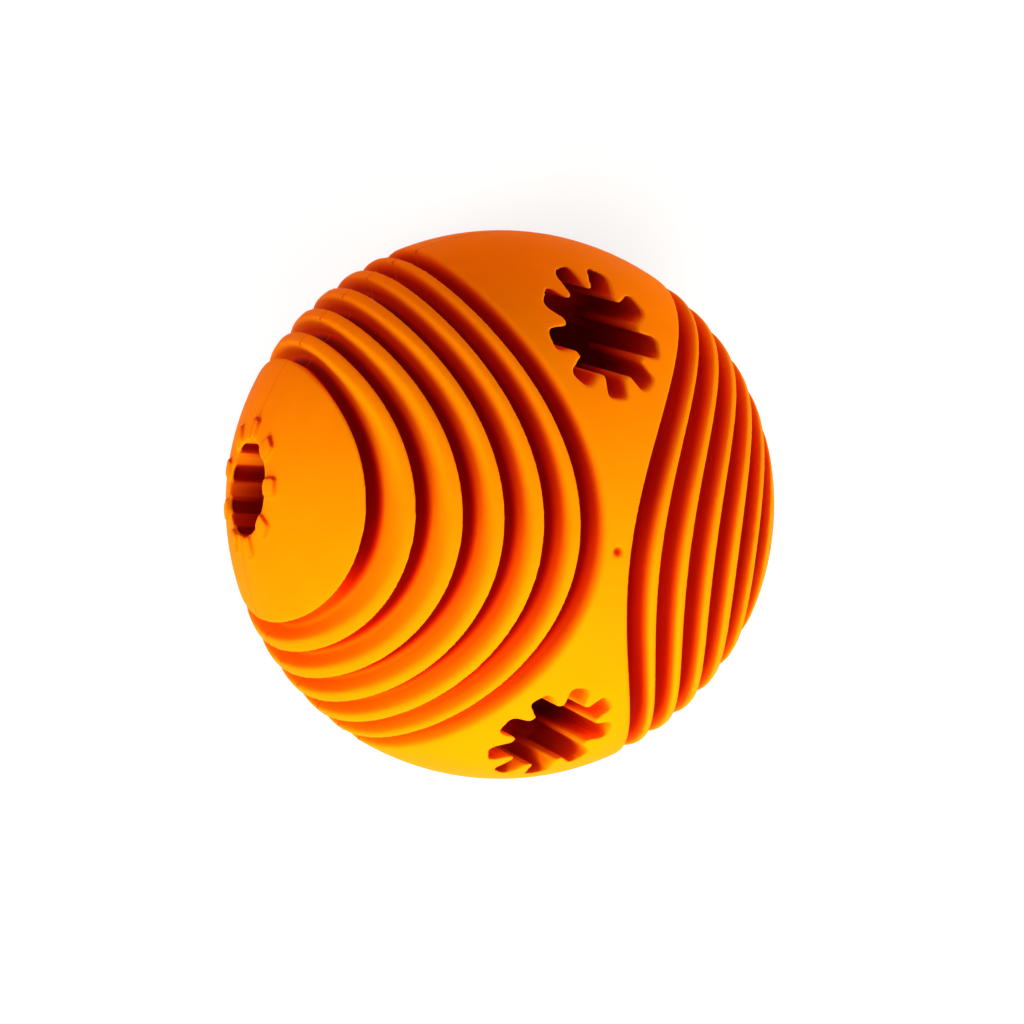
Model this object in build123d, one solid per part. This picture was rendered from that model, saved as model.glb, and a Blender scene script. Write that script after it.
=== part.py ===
from build123d import *
import math
import os

# Treat dispensing ball: two moulded rubber half shells, bonded on one flat seam.
# The origin is the ball's centre. X runs through the two pole ports, Z is the way the mould opens,
# and the seam lies in the XY plane. Lengths are in millimetres and angles in degrees.

# Ball
ball_diameter = 75.0
wall_thickness = 10.5
bond_thickness = 0.2
dimple_radius = 0.65
dimple_depth = 0.65

# Wavy grooves: angles are measured from the nearer pole to the groove's pole side
groove_top_angles = (38.9, 49.5, 58.9, 67.0, 74.7, 82.0)
groove_seam_angles = (27.8, 34.4, 40.9, 47.4, 53.7, 59.3)
groove_waist_share = 0.105
groove_depth = 2.8
groove_floor_bow = 0.5
groove_top_width = 2.45
groove_seam_width = 1.7
groove_draft_angle = 10.0
groove_end_angle = 104.0
groove_section_count = 17

# Side ports: toothed holes drawn straight down beside the top of the ball
port_slot_count = 9
side_port_inset = 10.9
side_port_floor = 5.0
side_port_tip_radius = 5.2
side_port_root_radius = 7.7
side_slot_width = 2.75
side_tooth_rounding = 0.4
slot_corner_radius = 0.8

# Pole ports: a round mouth in a ring of raised pads, with blind slots behind the lip
pole_bore_radius = 6.4
pole_root_radius = 7.9
pole_slot_width = 1.8
pole_tooth_rounding = 0.25
pole_lip_thickness = 0.4
pad_inner_radius = 6.7
pad_outer_radius = 9.35
pad_width = 2.4
pad_corner_radius = 0.6
pad_proud = 0.5

cut_overrun = 2.0

ball_radius = ball_diameter / 2
cavity_radius = ball_radius - wall_thickness
slot_pitch_angle = 360 / port_slot_count


def ball(radius):
    """A ball whose parametric poles lie on the X axis, inside the pole ports."""
    return Rot(0, 90, 0) * Sphere(radius)


def groove_angle(groove, bearing):
    """Angle from the pole to a groove's pole side, at a bearing round the pole from the top."""
    top = groove_top_angles[groove]
    seam = groove_seam_angles[groove]
    swing = (top - seam) / 2
    middle = (top + seam) / 2 - groove_waist_share * swing
    turn = math.radians(2 * bearing)
    return middle + swing * (math.cos(turn) + groove_waist_share * math.cos(2 * turn))


def polar_point(radius, angle):
    """A point of a meridian plane: x along the pole axis, y away from it."""
    turn = math.radians(angle)
    return Vector(-radius * math.cos(turn), radius * math.sin(turn))


def leaning(angle):
    """A direction of a meridian plane that leans from square to the pole axis towards the pole."""
    turn = math.radians(angle)
    return Vector(-math.sin(turn), math.cos(turn))


def distance_to_sphere(start, direction, radius):
    """How far along a direction a point inside a sphere is from its surface."""
    along = start.dot(direction)
    return math.sqrt(along**2 + radius**2 - start.length**2) - along


def groove_section(groove, bearing):
    """The groove's section in the meridian plane at a bearing: drafted walls on a bowed floor."""
    turn = math.radians(bearing)
    seam_part = math.sin(turn) ** 2
    top_part = 1 - seam_part
    edge_angle = groove_angle(groove, bearing)
    upright = 90 - edge_angle
    draw_lean = upright * seam_part
    pole_wall = leaning(draw_lean + groove_draft_angle)
    far_wall = leaning(draw_lean - groove_draft_angle)
    corner_radius = ball_radius - groove_depth + groove_floor_bow
    edge = polar_point(ball_radius, edge_angle)
    inset = edge.dot(pole_wall) - math.sqrt(
        edge.dot(pole_wall) ** 2 - ball_radius**2 + corner_radius**2
    )
    pole_corner = edge - pole_wall * inset
    width = groove_top_width * top_part + groove_seam_width * seam_part
    span = width / math.cos(math.radians(upright - draw_lean)) / corner_radius
    pole_corner_angle = math.degrees(math.atan2(pole_corner.Y, -pole_corner.X))
    far_corner_angle = pole_corner_angle + math.degrees(span)
    far_corner = polar_point(corner_radius, far_corner_angle)
    lowest = polar_point(ball_radius - groove_depth, (pole_corner_angle + far_corner_angle) / 2)
    pole_top = edge + pole_wall * cut_overrun
    far_reach = distance_to_sphere(far_corner, far_wall, ball_radius) + cut_overrun
    far_top = far_corner + far_wall * far_reach
    outline = Wire(
        [
            Line(pole_top, pole_corner),
            ThreePointArc(pole_corner, lowest, far_corner),
            Line(far_corner, far_top),
            Line(far_top, pole_top),
        ]
    )
    meridian = Plane((0, 0, 0), x_dir=(1, 0, 0), z_dir=(0, -math.cos(turn), math.sin(turn)))
    return meridian * Face(outline)


def groove_cutter(groove):
    """One groove over the upper half, running past the seam at both ends."""
    step = 2 * groove_end_angle / (groove_section_count - 1)
    bearings = [step * index - groove_end_angle for index in range(groove_section_count)]
    return loft([groove_section(groove, bearing) for bearing in bearings])


def toothed_profile(tip_radius, root_radius, slot_width, tip_rounding):
    """A round hole with radial slots, the first slot along +X of the sketch."""
    slot = Pos(root_radius / 2, 0) * Rectangle(root_radius, slot_width)
    slots = [Rot(0, 0, slot_pitch_angle * index) * slot for index in range(port_slot_count)]
    profile = Circle(tip_radius) + slots
    middle_radius = (tip_radius + root_radius) / 2
    ends = [v for v in profile.vertices() if Vector(v).length > middle_radius]
    profile = fillet(ends, slot_corner_radius)
    tips = [v for v in profile.vertices() if Vector(v).length < middle_radius]
    return fillet(tips, tip_rounding)


def side_port_cutter():
    """The toothed hole beside the top on the +Y side, with a slot towards the middle of the ball."""
    profile = toothed_profile(
        side_port_tip_radius, side_port_root_radius, side_slot_width, side_tooth_rounding
    )
    hole = extrude(Rot(0, 0, -90) * profile, ball_radius)
    return Pos(0, ball_radius - side_port_inset, side_port_floor) * hole


def pole_plane(distance):
    """A sketch plane across the -X pole axis that looks at the ball's centre, with +Y to its right."""
    return Plane((-distance, 0, 0), x_dir=(0, 1, 0), z_dir=(1, 0, 0))


def pole_port_cutter():
    """The round mouth at the -X pole and the blind slots that open into the cavity."""
    slot_end = math.sqrt(cavity_radius**2 - pole_root_radius**2) - cut_overrun
    bore_end = math.sqrt(cavity_radius**2 - pole_bore_radius**2) - cut_overrun
    bore_start = ball_radius + pad_proud + cut_overrun
    profile = toothed_profile(
        pole_bore_radius, pole_root_radius, pole_slot_width, pole_tooth_rounding
    )
    slots = extrude(pole_plane(ball_radius) * profile, ball_radius - slot_end)
    slots = slots & ball(ball_radius - pole_lip_thickness)
    bore = extrude(pole_plane(bore_start) * Circle(pole_bore_radius), bore_start - bore_end)
    return bore + slots


def pole_pads():
    """The raised pads round the -X mouth, one in front of each slot, domed with the ball."""
    length = pad_outer_radius - pad_inner_radius
    block = RectangleRounded(length, pad_width, pad_corner_radius)
    block = Pos(pad_inner_radius + length / 2, 0) * block
    outline = [Rot(0, 0, slot_pitch_angle * index) * block for index in range(port_slot_count)]
    outline = Sketch() + outline
    top = ball_radius + pad_proud
    foot = math.sqrt(ball_radius**2 - pad_outer_radius**2) - cut_overrun
    return extrude(pole_plane(top) * outline, top - foot) & ball(top)


def dimple_cutter():
    """The shallow vent mark at the top of the ball."""
    curve_radius = (dimple_radius**2 + dimple_depth**2) / (2 * dimple_depth)
    return Pos(0, 0, ball_radius - dimple_depth + curve_radius) * Sphere(curve_radius)


def upper_shell():
    """The half above the seam, with its ports, grooves and pads."""
    reach = ball_diameter + cut_overrun
    seam_level = bond_thickness / 2
    above_seam = Pos(0, 0, seam_level) * Box(
        reach, reach, reach, align=(Align.CENTER, Align.CENTER, Align.MIN)
    )
    left_pads = pole_pads()
    solid = ball(ball_radius) + [left_pads, mirror(left_pads, Plane.YZ)]
    solid = solid & above_seam
    left_grooves = [groove_cutter(groove) for groove in range(len(groove_top_angles))]
    right_grooves = [mirror(cutter, Plane.YZ) for cutter in left_grooves]
    left_port = pole_port_cutter()
    rear_port = side_port_cutter()
    ports = [left_port, mirror(left_port, Plane.YZ), rear_port, mirror(rear_port, Plane.XZ)]
    for cutter in [ball(cavity_radius), *ports, *left_grooves, *right_grooves, dimple_cutter()]:
        solid = solid - cutter
    return solid


def seam_bonds(shell):
    """The two cement films that fill the seam under a shell's flat rim, front first."""
    rim = shell.faces().filter_by(Axis.Z).group_by(Axis.Z)[0].sort_by(Axis.Y)
    return [extrude(face, bond_thickness, dir=(0, 0, -1)) for face in rim]


os.makedirs("parts", exist_ok=True)

upper = upper_shell()
lower = mirror(upper, Plane.XY)
front_bond, rear_bond = seam_bonds(upper)

pieces = {
    "upper_shell": upper,
    "lower_shell": lower,
    "front_seam_bond": front_bond,
    "rear_seam_bond": rear_bond,
}
for name, piece in pieces.items():
    export_step(piece, f"parts/{name}.step")
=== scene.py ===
import math

import bmesh
import bpy
import numpy as np
from mathutils import Matrix, Vector


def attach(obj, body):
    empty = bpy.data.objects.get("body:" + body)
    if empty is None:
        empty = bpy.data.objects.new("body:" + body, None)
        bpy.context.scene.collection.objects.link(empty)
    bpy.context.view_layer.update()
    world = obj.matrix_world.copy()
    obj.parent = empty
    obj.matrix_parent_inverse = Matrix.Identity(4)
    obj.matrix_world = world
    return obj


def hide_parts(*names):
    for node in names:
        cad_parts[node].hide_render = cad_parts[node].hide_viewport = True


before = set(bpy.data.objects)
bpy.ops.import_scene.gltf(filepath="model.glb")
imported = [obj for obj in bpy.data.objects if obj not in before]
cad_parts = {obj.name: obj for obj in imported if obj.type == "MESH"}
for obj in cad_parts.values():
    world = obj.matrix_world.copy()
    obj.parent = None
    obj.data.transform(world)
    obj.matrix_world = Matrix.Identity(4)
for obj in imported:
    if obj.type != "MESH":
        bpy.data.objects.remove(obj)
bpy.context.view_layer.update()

# Sizes in millimetres and angles in degrees, as in the part's source
MM = 0.001
BALL_RADIUS = 37.5
SEAM_LEVEL = 0.1
GROOVE_TOP = (38.9, 49.5, 58.9, 67.0, 74.7, 82.0)
GROOVE_SEAM = (27.8, 34.4, 40.9, 47.4, 53.7, 59.3)
GROOVE_WAIST = 0.105
GROOVE_CORNER_DEPTH = 2.3
GROOVE_TOP_WIDTH = 2.45
GROOVE_SEAM_WIDTH = 1.7
GROOVE_DRAFT = 10.0
PORT_SLOTS = 9
SIDE_PORT_PLACE = 26.6

# How far the ports, pads and vent mark reach from their middles, and where a pad starts to rise
SIDE_PORT_REACH = 8.0
POLE_PORT_REACH = 8.1
PAD_REACH = 10.0
PAD_RISE = 0.05
DIMPLE_REACH = 0.9

# How the moulded surface is softened
VOXEL = 0.2
SEAM_NEARNESS = 0.01
RIM_REACH = 1.4
SOFT_SPAN = 0.55
SOFT_DEPTH = 0.8
RELAX_SHARE = 0.5
EVEN_STEPS = 6
SOFT_STEPS = 22
SHELL_TRIANGLES = 185000
PORT_EDGE_LENGTH = 1.2
PORT_SPLITS = 3

# Rubber colours by painted shade: none outside, full down in the grooves and ports
RUBBER_BY_PAINTED_SHADE = (
    (0.0, (1.0, 0.4, 0.001)),
    (0.1, (1.0, 0.33, 0.001)),
    (0.25, (0.92, 0.16, 0.001)),
    (0.4, (0.75, 0.07, 0.0)),
    (0.55, (0.6, 0.026, 0.0)),
    (0.7, (0.45, 0.008, 0.0)),
    (0.85, (0.3, 0.002, 0.0)),
    (1.0, (0.18, 0.0005, 0.0)),
)

# Painted shade in the grooves. A pair is where a change starts and where it is full
GROOVE_MARGIN = 0.15
GROOVE_FULL_DEPTH = 2.5
GROOVE_DEEPEST = 0.95
GROOVE_CURVE = 0.66
GROOVE_CURVE_LIT = 1.2
LIT_WALL = (0.45, 0.95)
LIGHT_MIDDLE = 0.34
LIGHT_PER_X = 0.022
LIGHT_PER_Y = 0.014
LIGHT_RANGE = (0.1, 0.85)
RIGHT_LIFT = 0.13
RIGHT_REAR_LIFT = 0.1
RIGHT_X = (0, 10)
RIGHT_REAR_Y = (-5, 15)
FRONT_LEFT_LIFT = 0.6
FRONT_LEFT_Y = (3, 13)
FRONT_LEFT_X = (23, 30)

# Painted shade in the side ports, by the distance down from the ball's skin and by the port's ring
PORT_EDGE_SHADE = 0.42
FRONT_PORT_EDGE = (0.1, 2.4)
REAR_PORT_EDGE = (0.1, 1.2)
PORT_DEEP_SHADE = 0.28
PORT_DEEP = (0, 14)
FRONT_PORT_SHARE = 0.52
TIP_RING = (5.3, 6.0)
FRONT_TIP_LIFT = 0.75
REAR_TIP_LIFT = 0.35

# Painted shade in the pole ports: slots by their half angle, teeth by their place along Y
SLOT_SIDE = (10.5, 12)
SLOT_SHADE = 0.6
SLOT_EDGE = (0.2, 0.6)
TOOTH_SHADE = 0.3
TOOTH_SHADE_PER_Y = 0.035
TOOTH_EDGE = (0, 0.12)

# Painted shade on the pads' sides, by the way that they face
PAD_SHADE = 0.16
PAD_DARK_SHADE = 0.3
PAD_DARK_Y = 0.94
PAD_DARK_Z = 0.34
PAD_DARK_FACING = (0.3, 0.85)
PAD_TILT = (0.35, 0.6)

# Painted shade in the cavity
CAVITY_SHADE = 0.8
CAVITY_START = 4
CAVITY_EDGE = (3, 9)

# Surface of the rubber and of the cement
CLOUD_SCALE = 160
CLOUD_DETAIL = 3
CLOUD_SPAN = (0.3, 0.7)
CLOUD_TONE = (0.97, 1.03)
GRAIN_SCALE = 2600
GRAIN_DETAIL = 2
GRAIN_STRENGTH = 0.12
GRAIN_HEIGHT = 0.05
RUBBER_ROUGHNESS = (0.52, 0.72)
SATIN_LEVEL = 0.03
SATIN_TINT = (1.0, 0.4, 0.0)
CEMENT = ((0.35, (0.82, 0.2, 0.001)), (0.65, (0.95, 0.3, 0.001)))
CEMENT_SCALE = 420
CEMENT_ROUGHNESS = (0.5, 0.8)

# Light: the ways it comes from, and the sky's colours from the far side to the near side
KEY_WAY = (-0.5, -0.75, 0.43)
KEY_WATTS = 36.5
SIDE_WAY = (0.72, -0.27, 0.64)
SIDE_WATTS = 22
LAMP_DISTANCE = 1.8
SKY_WAY = (0.85, -0.6, 0.06)
SKY = ((0.0, (0.1, 0.042, 0.012)), (0.5, (0.44, 0.18, 0.06)), (1.0, (1.0, 0.32, 0.11)))
SKY_STRENGTH = 1.6

# Floor, in metres: a painted shadow, a dimmer glow in an ellipse from under the ball to behind it,
# adds to its cast shadow
FLOOR_REACH = 3.0
FLOOR_GAP = 0.0002
FLOOR_COLOUR = (0.15, 0.22, 0.26)
FLOOR_GLOW = 0.9
PAINTED_SHADOW_GLOW = 0.7
PAINTED_SHADOW_PLACE = (0.013, 0.013, 0)
PAINTED_SHADOW_TURN = (0, 0, math.radians(45))
PAINTED_SHADOW_STRETCH = (1.6, 1, 1)
PAINTED_SHADOW_REACH = (0.01, 0.03)
FLOOR_BOUNCE = (0.8, 0.34, 0.03)

# Camera, as the photograph was taken: its place in ball radii, and its focal length in pixels
CAMERA_RIGHT = (0.9073, 0.1201, 0.4029)
CAMERA_BACK = (-0.4164, 0.1242, 0.9008)
CAMERA_PLACE = (-5.088, 1.508, 11.117)
CAMERA_CLIP = (0.01, 50)
FOCAL_PIXELS = 3370
PICTURE_PIXELS = 1024
SENSOR_WIDTH = 36


def groove_edges(groove, bearing):
    """Angles from the pole to a groove's pole edge, pole foot, far foot and far edge."""
    turn = np.radians(bearing)
    seam_part = np.sin(turn) ** 2
    swing = (GROOVE_TOP[groove] - GROOVE_SEAM[groove]) / 2
    middle = (GROOVE_TOP[groove] + GROOVE_SEAM[groove]) / 2 - GROOVE_WAIST * swing
    near = np.radians(middle + swing * (np.cos(2 * turn) + GROOVE_WAIST * np.cos(4 * turn)))
    upright = np.pi / 2 - near
    lean = upright * seam_part
    draft = math.radians(GROOVE_DRAFT)
    corner = BALL_RADIUS - GROOVE_CORNER_DEPTH
    near_x = -BALL_RADIUS * np.cos(near)
    near_y = BALL_RADIUS * np.sin(near)
    wall_x = -np.sin(lean + draft)
    wall_y = np.cos(lean + draft)
    along = near_x * wall_x + near_y * wall_y
    inset = along - np.sqrt(along**2 - BALL_RADIUS**2 + corner**2)
    foot = np.arctan2(near_y - wall_y * inset, -(near_x - wall_x * inset))
    width = GROOVE_TOP_WIDTH * (1 - seam_part) + GROOVE_SEAM_WIDTH * seam_part
    far_foot = foot + width / np.cos(upright - lean) / corner
    foot_x = -corner * np.cos(far_foot)
    foot_y = corner * np.sin(far_foot)
    wall_x = -np.sin(lean - draft)
    wall_y = np.cos(lean - draft)
    along = foot_x * wall_x + foot_y * wall_y
    rise = np.sqrt(along**2 + BALL_RADIUS**2 - corner**2) - along
    far = np.arctan2(foot_y + wall_y * rise, -(foot_x + wall_x * rise))
    return near, foot, far_foot, far


def polar(points):
    """Radius, angle from the nearer pole and bearing round it, for points of a half shell."""
    x, y, z = points.T
    away = np.hypot(y, z)
    bearing = np.clip(np.degrees(np.arctan2(y, z)), -90, 90)
    return np.hypot(x, away), np.arctan2(away, np.abs(x)), bearing


def smooth(value, low, high):
    """An even step from zero at one value to one at another."""
    share = np.clip((value - low) / (high - low), 0, 1)
    return share * share * (3 - 2 * share)


def side_port_ring(x, y):
    """How far a place is from the middle line of the nearer side port."""
    return np.hypot(x, np.abs(y) - SIDE_PORT_PLACE)


def softness(points):
    """How much each point of a half shell is rounded: most along the groove edges that face -X."""
    radius, angle, bearing = polar(points)
    left = points[:, 0] < 0
    soft = np.zeros(len(points))
    for groove in range(len(GROOVE_TOP)):
        near, _, _, far = groove_edges(groove, bearing)
        gap = (angle - np.where(left, far, near)) * radius
        soft = np.maximum(soft, np.exp(-((gap / SOFT_SPAN) ** 2)))
    shallow = np.clip(1 - (BALL_RADIUS - radius - SOFT_DEPTH) / SOFT_DEPTH, 0, 1)
    return soft * shallow


def painted_groove_shade(points):
    """Painted shade in the grooves: more with depth, and less on the walls that the light reaches.
    """
    x, y, _ = points.T
    radius, angle, bearing = polar(points)
    depth = BALL_RADIUS - radius
    down = np.clip(depth / GROOVE_CORNER_DEPTH, 0, 1)
    # The share of painted shade that the lit walls lose: more towards -X, less towards +Y
    light = LIGHT_MIDDLE - LIGHT_PER_X * x - LIGHT_PER_Y * np.clip(y, 0, None)
    light = np.clip(light, *LIGHT_RANGE)
    curve = GROOVE_CURVE + GROOVE_CURVE_LIT * light
    by_depth = np.clip(depth / GROOVE_FULL_DEPTH, 0, 1) ** curve
    right_lift = RIGHT_LIFT + RIGHT_REAR_LIFT * smooth(y, *RIGHT_REAR_Y)
    right = GROOVE_DEEPEST - right_lift * smooth(x, *RIGHT_X)
    front_left = 1 - FRONT_LEFT_LIFT * smooth(-y, *FRONT_LEFT_Y) * smooth(-x, *FRONT_LEFT_X)
    shade = np.zeros(len(points))
    for groove in range(len(GROOVE_TOP)):
        near, foot, far_foot, far = groove_edges(groove, bearing)
        low = near + (foot - near) * down
        high = far + (far_foot - far) * down
        across = (angle - low) / (high - low)
        inside = (across > -GROOVE_MARGIN) & (across < 1 + GROOVE_MARGIN)
        across = np.where(x < 0, across, 1 - across)
        # Painted shade at these points of the groove
        deep = by_depth * (1 - light * smooth(across, *LIT_WALL)) * right * front_left
        shade = np.where(inside, np.maximum(shade, deep), shade)
    return shade


def painted_side_port_shade(points):
    """Painted shade in the side ports: more from the edges down, and less in front and on the
    teeth.
    """
    x, y, z = points.T
    front = y < 0
    below = np.sqrt(np.clip(BALL_RADIUS**2 - x**2 - y**2, 0, None)) - z
    edge = np.where(front, smooth(below, *FRONT_PORT_EDGE), smooth(below, *REAR_PORT_EDGE))
    inner = PORT_EDGE_SHADE * edge + PORT_DEEP_SHADE * smooth(below, *PORT_DEEP)
    tip = 1 - smooth(side_port_ring(x, y), *TIP_RING)
    front_share = FRONT_PORT_SHARE * (1 - FRONT_TIP_LIFT * tip)
    return inner * np.where(front, front_share, 1 - REAR_TIP_LIFT * tip)


def painted_pole_port_shade(points, depth):
    """Painted shade in the pole ports, which makes the teeth bright and the slots dark."""
    _, y, z = points.T
    pitch = 360 / PORT_SLOTS
    offset = np.abs((np.degrees(np.arctan2(z, y)) + pitch / 2) % pitch - pitch / 2)
    slot = 1 - smooth(offset, *SLOT_SIDE)
    tooth = (TOOTH_SHADE - TOOTH_SHADE_PER_Y * y) * smooth(depth, *TOOTH_EDGE)
    return tooth * (1 - slot) + SLOT_SHADE * smooth(depth, *SLOT_EDGE) * slot


def painted_pad_shade(normals):
    """Painted shade on the pads' sides, most on those that face back and up."""
    tilt = np.hypot(normals[:, 1], normals[:, 2])
    facing = PAD_DARK_Y * normals[:, 1] + PAD_DARK_Z * normals[:, 2]
    side = PAD_SHADE + PAD_DARK_SHADE * smooth(facing, *PAD_DARK_FACING)
    return side * smooth(tilt, *PAD_TILT)


def painted_shade_of(points, normals):
    """How much painted shade darkens the rubber at points of a half shell, from none outside to
    one deep inside.
    """
    x, y, z = points.T
    depth = BALL_RADIUS - polar(points)[0]
    away = np.hypot(y, z)
    shade = painted_groove_shade(points)

    in_side_port = side_port_ring(x, y) < SIDE_PORT_REACH
    shade = np.where(in_side_port, painted_side_port_shade(points), shade)
    in_pole_port = (away < POLE_PORT_REACH) & (depth > 0)
    shade = np.where(in_pole_port, painted_pole_port_shade(points, depth), shade)
    on_pad = (away < PAD_REACH) & (depth < -PAD_RISE)
    shade = np.where(on_pad, painted_pad_shade(normals), shade)

    # Painted shade deep inside the cavity
    cavity = CAVITY_SHADE * smooth(depth, *CAVITY_EDGE)
    shade = np.where(depth > CAVITY_START, np.maximum(shade, cavity), shade)
    # Painted shade in the vent mark's dimple, growing with its depth
    in_dimple = (np.hypot(x, y) < DIMPLE_REACH) & (z > 0)
    shade = np.where(in_dimple, np.clip(depth, 0, 1), shade)
    return np.clip(shade, 0, 1)


def relax(points, edges, steps, share):
    """Moves each point towards the middle of its neighbours, by its own share at each step."""
    count = len(points)
    first, second = edges.T
    degree = np.bincount(edges.ravel(), minlength=count).clip(1)
    for _ in range(steps):
        middle = np.empty_like(points)
        for axis in range(3):
            total = np.bincount(first, weights=points[second, axis], minlength=count)
            total += np.bincount(second, weights=points[first, axis], minlength=count)
            middle[:, axis] = total / degree
        points = points + (middle - points) * share
    return points


def applied(obj):
    """Gives an object's mesh with its modifiers applied, and clears them."""
    graph = bpy.context.evaluated_depsgraph_get()
    made = bpy.data.meshes.new_from_object(obj.evaluated_get(graph))
    obj.modifiers.clear()
    old = obj.data
    obj.data = made
    bpy.data.meshes.remove(old)


def vectors(items, field):
    """The three numbers that each of a mesh's items holds in a field, as rows."""
    values = np.empty(len(items) * 3)
    items.foreach_get(field, values)
    return values.reshape(-1, 3)


def even_surface():
    """A working copy of the upper half shell in even small faces, its rim drawn past the seam."""
    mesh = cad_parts["upper_shell"].data.copy()
    mesh.materials.clear()
    mesh.transform(Matrix.Scale(1 / MM, 4))
    for vertex in mesh.vertices:
        if abs(vertex.co.z - SEAM_LEVEL) < SEAM_NEARNESS:
            vertex.co.z -= RIM_REACH
    obj = bpy.data.objects.new("working", mesh)
    bpy.context.scene.collection.objects.link(obj)
    remesh = obj.modifiers.new("remesh", "REMESH")
    remesh.mode = "VOXEL"
    remesh.voxel_size = VOXEL
    applied(obj)
    return obj


def soften(obj):
    """Evens out a working copy, rounds its soft edges and thins its faces."""
    mesh = obj.data
    points = vectors(mesh.vertices, "co")
    edges = np.empty(len(mesh.edges) * 2, dtype=np.int64)
    mesh.edges.foreach_get("vertices", edges)
    edges = edges.reshape(-1, 2)
    points = relax(points, edges, EVEN_STEPS, RELAX_SHARE)
    points = relax(points, edges, SOFT_STEPS, RELAX_SHARE * softness(points)[:, None])
    mesh.vertices.foreach_set("co", points.ravel())
    mesh.update()
    thin = obj.modifiers.new("thin", "DECIMATE")
    thin.ratio = min(1.0, SHELL_TRIANGLES / (2 * len(mesh.polygons)))
    applied(obj)


def long_port_edges(shape):
    """The edges in the side ports that are too long to carry their change of painted shade."""
    found = []
    for edge in shape.edges:
        if edge.calc_length() > PORT_EDGE_LENGTH:
            middle = (edge.verts[0].co + edge.verts[1].co) / 2
            if side_port_ring(middle.x, middle.y) < SIDE_PORT_REACH:
                found.append(edge)
    return found


def cut_at_seam(obj):
    """A new mesh of what a working copy has above the seam, closed by a flat rim."""
    shape = bmesh.new()
    shape.from_mesh(obj.data)
    parts = shape.verts[:] + shape.edges[:] + shape.faces[:]
    cut = bmesh.ops.bisect_plane(
        shape, geom=parts, plane_co=(0, 0, SEAM_LEVEL), plane_no=(0, 0, 1), clear_inner=True
    )
    rim = [item for item in cut["geom_cut"] if isinstance(item, bmesh.types.BMEdge)]
    bmesh.ops.triangle_fill(shape, edges=rim, use_beauty=True, normal=(0, 0, -1))
    bmesh.ops.triangulate(shape, faces=[face for face in shape.faces if len(face.verts) > 4])
    for _ in range(PORT_SPLITS):
        bmesh.ops.subdivide_edges(shape, edges=long_port_edges(shape), cuts=1)
    bmesh.ops.recalc_face_normals(shape, faces=shape.faces)
    for face in shape.faces:
        face.smooth = True
    for edge in rim:
        edge.smooth = False
    mesh = bpy.data.meshes.new("upper_rubber")
    shape.to_mesh(mesh)
    shape.free()
    return mesh


def upper_surface():
    """The upper half shell with its moulded edges rounded, its seam rim flat and its painted shade
    set.
    """
    obj = even_surface()
    soften(obj)
    mesh = cut_at_seam(obj)
    bpy.data.objects.remove(obj)
    points = vectors(mesh.vertices, "co")
    # The painted shade, one value for each point
    shade = mesh.attributes.new("shade", "FLOAT", "POINT")
    normals = vectors(mesh.vertex_normals, "vector")
    shade.data.foreach_set("value", painted_shade_of(points, normals))
    mesh.transform(Matrix.Scale(MM, 4))
    return mesh


def shell(name, node, mesh, material):
    """A visible half shell that stands for its node."""
    mesh.name = name
    mesh.materials.clear()
    mesh.materials.append(material)
    obj = bpy.data.objects.new(name, mesh)
    bpy.context.scene.collection.objects.link(obj)
    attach(obj, "root")
    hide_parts(node)


def nodes_of(name):
    """A new material, with its node list, its link list and its main shader."""
    material = bpy.data.materials.new(name)
    material.use_nodes = True
    tree = material.node_tree
    return material, tree.nodes, tree.links, tree.nodes["Principled BSDF"]


def noise(nodes, links, place, scale, detail):
    """Noise of a given scale in the object's own space."""
    node = nodes.new("ShaderNodeTexNoise")
    node.inputs["Scale"].default_value = scale
    node.inputs["Detail"].default_value = detail
    links.new(place, node.inputs["Vector"])
    return node.outputs["Fac"]


def ramp(nodes, stops):
    """A colour ramp with its stops as pairs of place and colour."""
    node = nodes.new("ShaderNodeValToRGB")
    line = node.color_ramp
    while len(line.elements) < len(stops):
        line.elements.new(0.5)
    for element, (place, colour) in zip(line.elements, stops):
        element.position = place
        element.color = (*colour, 1)
    return node


def spread(nodes, links, value, to_range, from_range=(0, 1), kind="LINEAR"):
    """A value carried over from one range to another."""
    node = nodes.new("ShaderNodeMapRange")
    node.interpolation_type = kind
    node.inputs["From Min"].default_value, node.inputs["From Max"].default_value = from_range
    node.inputs["To Min"].default_value, node.inputs["To Max"].default_value = to_range
    links.new(value, node.inputs["Value"])
    return node.outputs["Result"]


def math_node(nodes, links, operation, *values):
    """The result of a math node whose inputs are each a socket or a number."""
    node = nodes.new("ShaderNodeMath")
    node.operation = operation
    for socket, value in zip(node.inputs, values):
        if isinstance(value, (int, float)):
            socket.default_value = value
        else:
            links.new(value, socket)
    return node.outputs[0]


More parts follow.
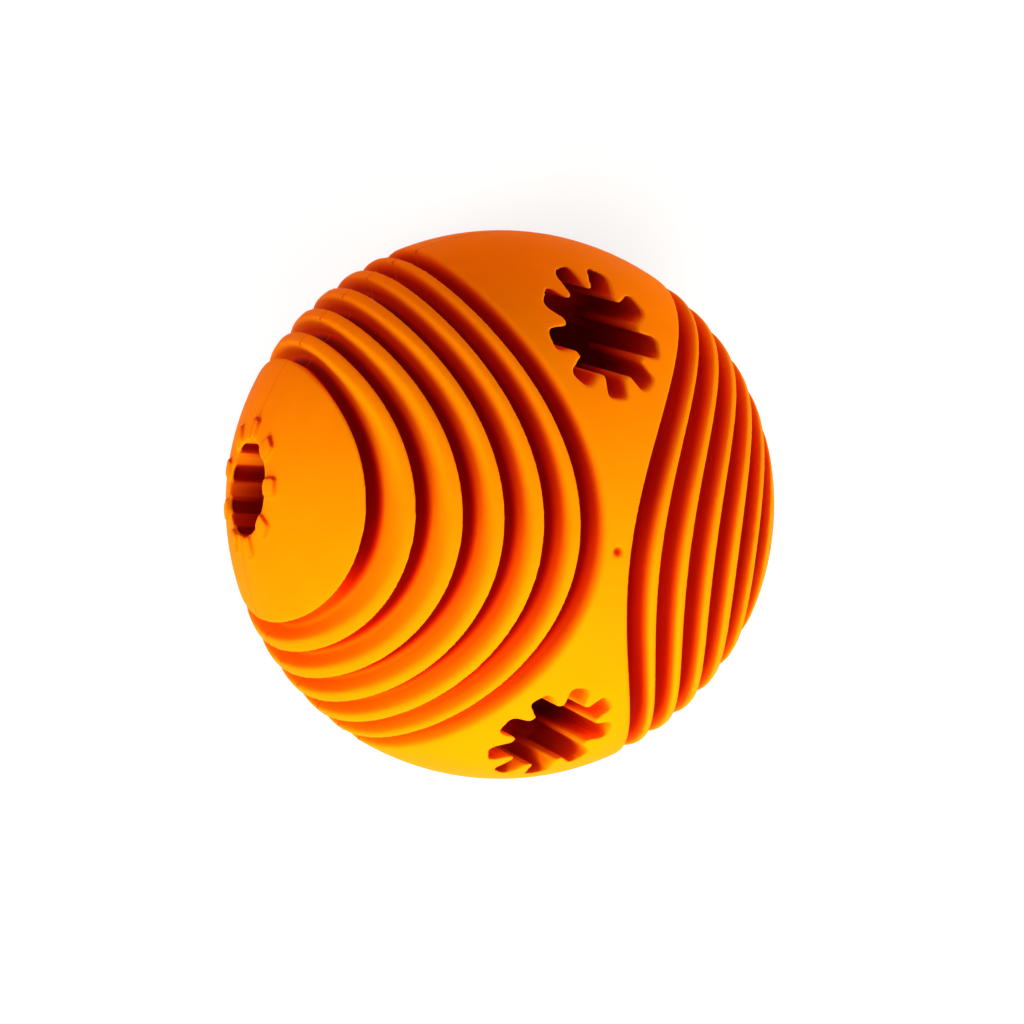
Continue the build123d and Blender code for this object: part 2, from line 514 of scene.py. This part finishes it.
def rubber(name):
    """Satin moulded rubber: orange outside, and redder and darker down in the grooves and ports by
    painted shade.
    """
    material, nodes, links, shader = nodes_of(name)
    place = nodes.new("ShaderNodeTexCoord").outputs["Object"]
    # The painted shade of each point
    shade = nodes.new("ShaderNodeAttribute")
    shade.attribute_name = "shade"
    colours = ramp(nodes, RUBBER_BY_PAINTED_SHADE)
    links.new(shade.outputs["Fac"], colours.inputs["Fac"])

    # Faint clouds in the pigment
    clouds = noise(nodes, links, place, CLOUD_SCALE, CLOUD_DETAIL)
    toned = nodes.new("ShaderNodeHueSaturation")
    links.new(spread(nodes, links, clouds, CLOUD_TONE, CLOUD_SPAN), toned.inputs["Value"])
    links.new(colours.outputs["Color"], toned.inputs["Color"])
    links.new(toned.outputs["Color"], shader.inputs["Base Color"])

    # Satin skin with a fine moulded grain
    links.new(spread(nodes, links, clouds, RUBBER_ROUGHNESS), shader.inputs["Roughness"])
    bump = nodes.new("ShaderNodeBump")
    bump.inputs["Strength"].default_value = GRAIN_STRENGTH
    bump.inputs["Distance"].default_value = GRAIN_HEIGHT * MM
    links.new(noise(nodes, links, place, GRAIN_SCALE, GRAIN_DETAIL), bump.inputs["Height"])
    links.new(bump.outputs["Normal"], shader.inputs["Normal"])
    shader.inputs["Specular IOR Level"].default_value = SATIN_LEVEL
    shader.inputs["Specular Tint"].default_value = (*SATIN_TINT, 1)
    return material


def cement(name):
    """Cured rubber cement: a little darker than the rubber, and uneven along the seam."""
    material, nodes, links, shader = nodes_of(name)
    place = nodes.new("ShaderNodeTexCoord").outputs["Object"]
    clouds = noise(nodes, links, place, CEMENT_SCALE, CLOUD_DETAIL)
    colours = ramp(nodes, CEMENT)
    links.new(clouds, colours.inputs["Fac"])
    links.new(colours.outputs["Color"], shader.inputs["Base Color"])
    links.new(spread(nodes, links, clouds, CEMENT_ROUGHNESS), shader.inputs["Roughness"])
    shader.inputs["Specular IOR Level"].default_value = SATIN_LEVEL
    return material


def camera_rays(nodes, links):
    """One for the rays that the picture shows, also in gloss or through glass, or else zero."""
    path = nodes.new("ShaderNodeLightPath")
    seen = path.outputs["Is Camera Ray"]
    total = math_node(nodes, links, "ADD", seen, path.outputs["Is Glossy Ray"])
    total = math_node(nodes, links, "ADD", total, path.outputs["Is Transmission Ray"])
    return math_node(nodes, links, "MINIMUM", total, 1)


def white_floor():
    """A white floor, with a warm bounce on the ball, its cast shadow, and a painted shadow that is
    strongest behind it.
    """
    material, nodes, links, shader = nodes_of("floor_white")
    shader.inputs["Base Color"].default_value = (*FLOOR_COLOUR, 1)
    shader.inputs["Roughness"].default_value = 1
    shader.inputs["Specular IOR Level"].default_value = 0
    # Painted shadow: the floor glows less in an ellipse from under the ball to behind it
    place = nodes.new("ShaderNodeMapping")
    place.vector_type = "TEXTURE"
    place.inputs["Location"].default_value = PAINTED_SHADOW_PLACE
    place.inputs["Rotation"].default_value = PAINTED_SHADOW_TURN
    place.inputs["Scale"].default_value = PAINTED_SHADOW_STRETCH
    links.new(nodes.new("ShaderNodeTexCoord").outputs["Object"], place.inputs["Vector"])
    away = nodes.new("ShaderNodeVectorMath")
    away.operation = "LENGTH"
    links.new(place.outputs["Vector"], away.inputs[0])
    glows = (PAINTED_SHADOW_GLOW, FLOOR_GLOW)
    painted_shadow_fade = spread(nodes, links, away.outputs["Value"], glows, PAINTED_SHADOW_REACH, "SMOOTHSTEP")
    glow = nodes.new("ShaderNodeEmission")
    links.new(painted_shadow_fade, glow.inputs["Strength"])
    shown = nodes.new("ShaderNodeAddShader")
    links.new(shader.outputs["BSDF"], shown.inputs[0])
    links.new(glow.outputs["Emission"], shown.inputs[1])
    bounce = nodes.new("ShaderNodeBsdfDiffuse")
    bounce.inputs["Color"].default_value = (*FLOOR_BOUNCE, 1)
    both = nodes.new("ShaderNodeMixShader")
    links.new(camera_rays(nodes, links), both.inputs["Fac"])
    links.new(bounce.outputs["BSDF"], both.inputs[1])
    links.new(shown.outputs["Shader"], both.inputs[2])
    links.new(both.outputs["Shader"], nodes["Material Output"].inputs["Surface"])
    return material


def studio_world():
    """Soft light, strongest from the lower right of the picture, and white to the camera."""
    world = bpy.data.worlds.new("studio")
    bpy.context.scene.world = world
    world.use_nodes = True
    nodes = world.node_tree.nodes
    links = world.node_tree.links
    back = nodes["Background"]
    way = nodes.new("ShaderNodeVectorMath")
    way.operation = "DOT_PRODUCT"
    links.new(nodes.new("ShaderNodeTexCoord").outputs["Generated"], way.inputs[0])
    way.inputs[1].default_value = Vector(SKY_WAY).normalized()
    sky = ramp(nodes, SKY)
    place = math_node(nodes, links, "MULTIPLY_ADD", way.outputs["Value"], 0.5, 0.5)
    links.new(place, sky.inputs["Fac"])
    links.new(sky.outputs["Color"], back.inputs["Color"])
    back.inputs["Strength"].default_value = SKY_STRENGTH
    seen = nodes.new("ShaderNodeBackground")
    seen.inputs["Color"].default_value = (1, 1, 1, 1)
    either = nodes.new("ShaderNodeMixShader")
    links.new(camera_rays(nodes, links), either.inputs["Fac"])
    links.new(back.outputs["Background"], either.inputs[1])
    links.new(seen.outputs["Background"], either.inputs[2])
    links.new(either.outputs["Shader"], nodes["World Output"].inputs["Surface"])


def lamp(name, way, watts):
    """A wide round lamp that shines on the ball from a given way."""
    light = bpy.data.lights.new(name, "AREA")
    light.shape = "DISK"
    light.size = LAMP_DISTANCE
    light.energy = watts
    obj = bpy.data.objects.new(name, light)
    bpy.context.scene.collection.objects.link(obj)
    obj.location = Vector(way).normalized() * LAMP_DISTANCE
    obj.rotation_euler = (-obj.location).to_track_quat("-Z", "Y").to_euler()
    obj.visible_camera = False


def photo_camera():
    """The camera of the photograph."""
    right = Vector(CAMERA_RIGHT).normalized()
    back = Vector(CAMERA_BACK)
    back = (back - right * back.dot(right)).normalized()
    view = bpy.data.cameras.new("camera")
    view.sensor_width = SENSOR_WIDTH
    view.sensor_fit = "HORIZONTAL"
    view.lens = SENSOR_WIDTH * FOCAL_PIXELS / PICTURE_PIXELS
    view.clip_start, view.clip_end = CAMERA_CLIP
    camera = bpy.data.objects.new("camera", view)
    bpy.context.scene.collection.objects.link(camera)
    turn = Matrix((right, back.cross(right), back)).transposed().to_4x4()
    camera.matrix_world = Matrix.Translation(Vector(CAMERA_PLACE) * BALL_RADIUS * MM) @ turn
    bpy.context.scene.camera = camera


# The two half shells and the cement between them
orange = rubber("orange_rubber")
upper_mesh = upper_surface()
lower_mesh = upper_mesh.copy()
lower_mesh.transform(Matrix.Scale(-1, 4, (0, 0, 1)))
lower_mesh.flip_normals()
shell("upper_rubber", "upper_shell", upper_mesh, orange)
shell("lower_rubber", "lower_shell", lower_mesh, orange)
glue = cement("seam_cement")
for node in ("front_seam_bond", "rear_seam_bond"):
    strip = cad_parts[node]
    strip.data.materials.clear()
    strip.data.materials.append(glue)

# Floor: white to the camera, with the ball's cast shadow left on it and a painted shadow added
floor_mesh = bpy.data.meshes.new("floor")
sides = ((-1, -1), (1, -1), (1, 1), (-1, 1))
corners = [(x * FLOOR_REACH, y * FLOOR_REACH, 0) for x, y in sides]
floor_mesh.from_pydata(corners, [], [(0, 1, 2, 3)])
floor = bpy.data.objects.new("floor", floor_mesh)
floor.location.z = -BALL_RADIUS * MM - FLOOR_GAP
bpy.context.scene.collection.objects.link(floor)
floor_mesh.materials.append(white_floor())

# Key light from the lower left of the picture, and a softer one from the right
studio_world()
lamp("key", KEY_WAY, KEY_WATTS)
lamp("side", SIDE_WAY, SIDE_WATTS)

photo_camera()
bpy.context.scene.view_settings.view_transform = "Standard"
